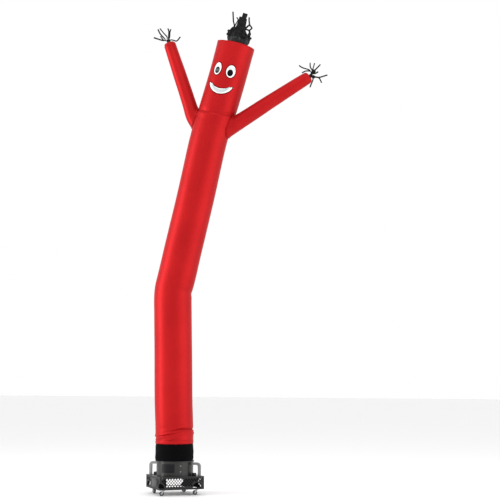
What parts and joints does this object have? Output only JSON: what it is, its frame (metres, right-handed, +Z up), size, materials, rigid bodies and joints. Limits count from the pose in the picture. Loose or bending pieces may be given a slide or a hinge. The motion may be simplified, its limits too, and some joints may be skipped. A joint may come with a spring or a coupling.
{
  "type": "inflatable air dancer on blower",
  "caption": "Tall red cloth tube figure with raised arms, cut-strip hair and a smiling face, its black sleeve fitted over a square metal blower on casters.",
  "frame": {"origin": "on the floor, under the middle of the whole object's bounding box", "axes": "+Z up, -Y toward the side that carries the plate and the face, +X the way that the tube leans"},
  "size_m": [2.3, 0.8102, 6.0347],
  "materials": {
    "red_cloth": "satin",
    "black_cloth": "satin",
    "white_cloth": "matte",
    "dark_cloth": "matte",
    "gunmetal": "satin",
    "black_metal": "satin",
    "label_film": "gloss",
    "zinc": "satin",
    "wheel_rubber": "matte"
  },
  "bodies": {
    "root": {"arm_left": "red_cloth", "arm_right": "red_cloth", "baffle_back_right": "gunmetal", "baffle_front_left": "gunmetal", "base_deck": "gunmetal", "block_left": "gunmetal", "block_right": "gunmetal", "body_tube": "red_cloth", "bottom_sleeve": "black_cloth", "caster_mount_back": "zinc", "caster_mount_front": "zinc", "caster_mount_left": "zinc", "caster_mount_right": "zinc", "crown_panel": "red_cloth", "drum": "gunmetal", "eye_left": "white_cloth", "eye_right": "white_cloth", "gusset_back": "gunmetal", "gusset_front": "gunmetal", "gusset_left": "gunmetal", "gusset_right": "gunmetal", "hair": "black_cloth", "hand_streamers_left": "black_cloth", "hand_streamers_right": "black_cloth", "handle_left": "gunmetal", "handle_right": "gunmetal", "head_tube": "red_cloth", "label_plate": "label_film", "outlet_collar": "black_metal", "panel_back_left": "gunmetal", "panel_back_right": "gunmetal", "panel_front_left": "gunmetal", "panel_front_right": "gunmetal", "pupil_left": "dark_cloth", "pupil_right": "dark_cloth", "smile": "white_cloth"},
    "swivel_front": {"caster_fork_front": "zinc"},
    "wheel_front": {"caster_wheel_front": "wheel_rubber"},
    "swivel_right": {"caster_fork_right": "zinc"},
    "wheel_right": {"caster_wheel_right": "wheel_rubber"},
    "swivel_back": {"caster_fork_back": "zinc"},
    "wheel_back": {"caster_wheel_back": "wheel_rubber"},
    "swivel_left": {"caster_fork_left": "zinc"},
    "wheel_left": {"caster_wheel_left": "wheel_rubber"}
  },
  "joints": [
    {"name": "swivel_front", "type": "hinge", "parent": "root", "child": "swivel_front", "pos_m": [-0.75048, -0.30558, 0.06], "axis": [0, 0, 1], "continuous": true},
    {"name": "roll_front", "type": "hinge", "parent": "swivel_front", "child": "wheel_front", "pos_m": [-0.77042, -0.31488, 0.028], "axis": [0.4226, -0.9063, 0], "continuous": true},
    {"name": "swivel_right", "type": "hinge", "parent": "root", "child": "swivel_right", "pos_m": [-0.45048, -0.00558, 0.06], "axis": [0, 0, 1], "continuous": true},
    {"name": "roll_right", "type": "hinge", "parent": "swivel_right", "child": "wheel_right", "pos_m": [-0.4685, -0.0182, 0.028], "axis": [0.5736, -0.8192, 0], "continuous": true},
    {"name": "swivel_back", "type": "hinge", "parent": "root", "child": "swivel_back", "pos_m": [-0.75048, 0.29441, 0.06], "axis": [0, 0, 1], "continuous": true},
    {"name": "roll_back", "type": "hinge", "parent": "swivel_back", "child": "wheel_back", "pos_m": [-0.77116, 0.28689, 0.028], "axis": [0.342, -0.9397, 0], "continuous": true},
    {"name": "swivel_left", "type": "hinge", "parent": "root", "child": "swivel_left", "pos_m": [-1.05048, -0.00558, 0.06], "axis": [0, 0, 1], "continuous": true},
    {"name": "roll_left", "type": "hinge", "parent": "swivel_left", "child": "wheel_left", "pos_m": [-1.03143, -0.01658, 0.028], "axis": [0.5, 0.866, 0], "continuous": true}
  ]
}
